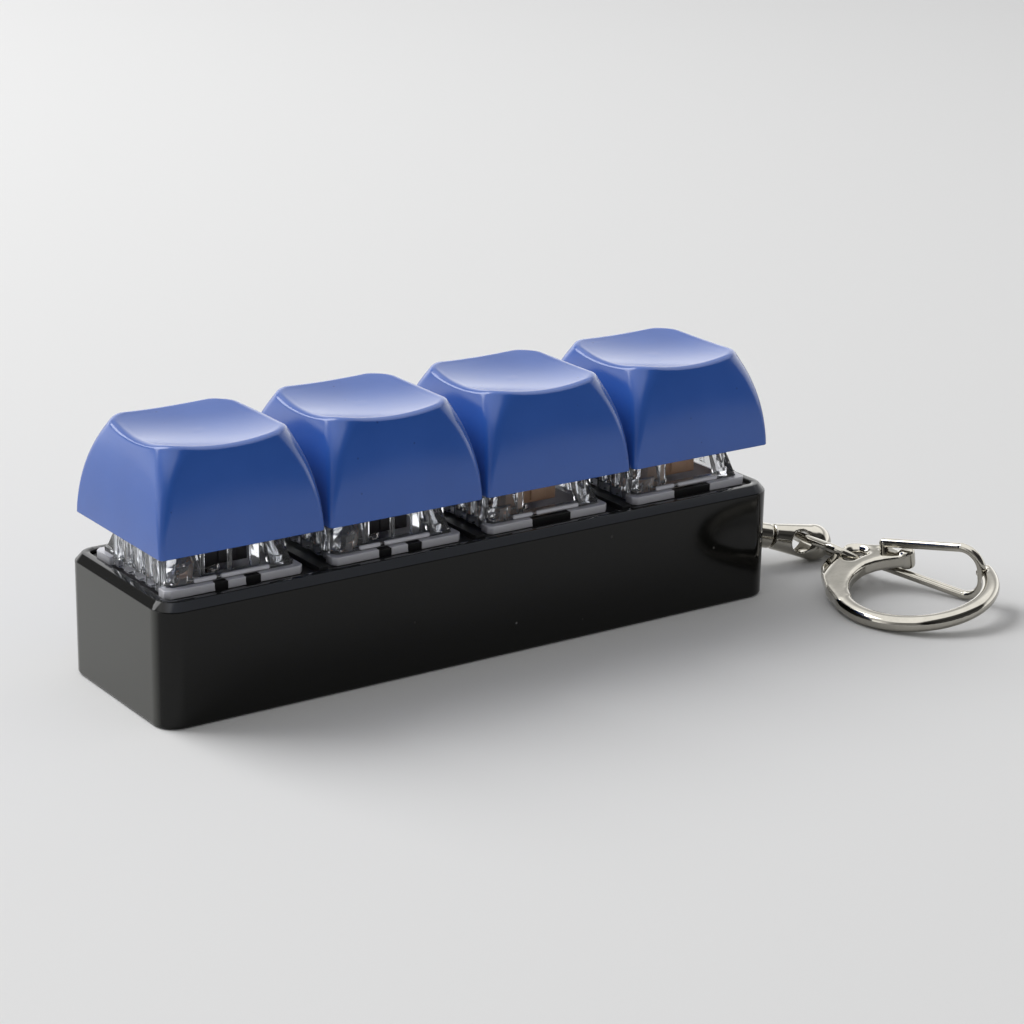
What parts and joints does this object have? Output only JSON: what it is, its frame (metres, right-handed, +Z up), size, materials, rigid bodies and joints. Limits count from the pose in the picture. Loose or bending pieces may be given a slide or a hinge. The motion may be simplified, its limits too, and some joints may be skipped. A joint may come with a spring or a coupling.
{
  "type": "finger exerciser",
  "caption": "Row of sprung keys in a narrow case that the fingers press one at a time, with a swivel and a round wire-gate clasp on a short chain.",
  "frame": {"origin": "centre of the case's flat underside", "axes": "+X along the row of keys towards the keychain, +Y across the row away from the clasp, +Z up"},
  "size_m": [0.0963, 0.0424, 0.028],
  "materials": {
    "case": "glossy black, softly worn",
    "plate": "satin black",
    "keycap": "satin royal blue",
    "stem_dark": "satin dark grey",
    "stem_tan": "satin tan",
    "clear_top": "clear moulded plastic",
    "clear_base": "clear moulded plastic, slightly smoky",
    "spring_steel": "bright wire",
    "copper": "bare copper alloy",
    "nickel": "polished nickel plate"
  },
  "bodies": {
    "case": {"case_shell": "case", "switch_plate": "plate", "housing_top_1": "clear_top", "housing_base_1": "clear_base", "contacts_1": "copper", "spring_1": "spring_steel", "housing_top_2": "clear_top", "housing_base_2": "clear_base", "contacts_2": "copper", "spring_2": "spring_steel", "housing_top_3": "clear_top", "housing_base_3": "clear_base", "contacts_3": "copper", "spring_3": "spring_steel", "housing_top_4": "clear_top", "housing_base_4": "clear_base", "contacts_4": "copper", "spring_4": "spring_steel"},
    "key_1": {"keycap_1": "keycap", "stem_1": "stem_dark"},
    "key_2": {"keycap_2": "keycap", "stem_2": "stem_dark"},
    "key_3": {"keycap_3": "keycap", "stem_3": "stem_tan"},
    "key_4": {"keycap_4": "keycap", "stem_4": "stem_tan"},
    "jump_ring": {"jump_ring": "nickel"},
    "swivel_stud": {"swivel_stud": "nickel"},
    "swivel_barrel": {"swivel_barrel": "nickel"},
    "chain_link": {"chain_link": "nickel"},
    "clasp": {"clasp_body": "nickel"},
    "gate": {"clasp_gate": "nickel"}
  },
  "joints": [
    {"name": "key_press_1", "type": "slide", "parent": "case", "child": "key_1", "axis": [0, 0, -1], "range_m": [0, 0.004], "stiffness_N_per_m": 45, "springref_m": -0.011, "deforming": ["spring_1"]},
    {"name": "key_press_2", "type": "slide", "parent": "case", "child": "key_2", "axis": [0, 0, -1], "range_m": [0, 0.004], "stiffness_N_per_m": 45, "springref_m": -0.011, "deforming": ["spring_2"]},
    {"name": "key_press_3", "type": "slide", "parent": "case", "child": "key_3", "axis": [0, 0, -1], "range_m": [0, 0.004], "stiffness_N_per_m": 45, "springref_m": -0.011, "deforming": ["spring_3"]},
    {"name": "key_press_4", "type": "slide", "parent": "case", "child": "key_4", "axis": [0, 0, -1], "range_m": [0, 0.004], "stiffness_N_per_m": 45, "springref_m": -0.011, "deforming": ["spring_4"]},
    {"name": "ring_yaw", "type": "hinge", "parent": "case", "child": "jump_ring", "pos_m": [0.0373, 0, 0.0045], "axis": [0, 0, 1], "range_deg": [-35, 60]},
    {"name": "swivel_pitch", "type": "hinge", "parent": "jump_ring", "child": "swivel_stud", "pos_m": [0.04032, -0.00089, 0.0045], "axis": [0.284, 0.9588, 0], "range_deg": [-30, 40]},
    {"name": "barrel_spin", "type": "hinge", "parent": "swivel_stud", "child": "swivel_barrel", "pos_m": [0.04834, -0.00327, 0.00262], "axis": [0.9354, -0.2771, -0.2198], "continuous": true},
    {"name": "link_swing", "type": "hinge", "parent": "swivel_barrel", "child": "chain_link", "pos_m": [0.04862, -0.00335, 0.00309], "axis": [0.164, 0.9801, -0.1115], "range_deg": [-75, 75]},
    {"name": "clasp_swing", "type": "hinge", "parent": "chain_link", "child": "clasp", "pos_m": [0.04921, -0.01235, 0.00285], "axis": [0.8405, -0.198, -0.5044], "range_deg": [-12, 12]},
    {"name": "gate_open", "type": "hinge", "parent": "clasp", "child": "gate", "pos_m": [0.05216, -0.0142, 0.00332], "axis": [-0.1804, -0.0384, 0.9828], "range_deg": [-35, 0], "stiffness_Nm_per_rad": 0.002, "springref_deg": 8.59}
  ]
}
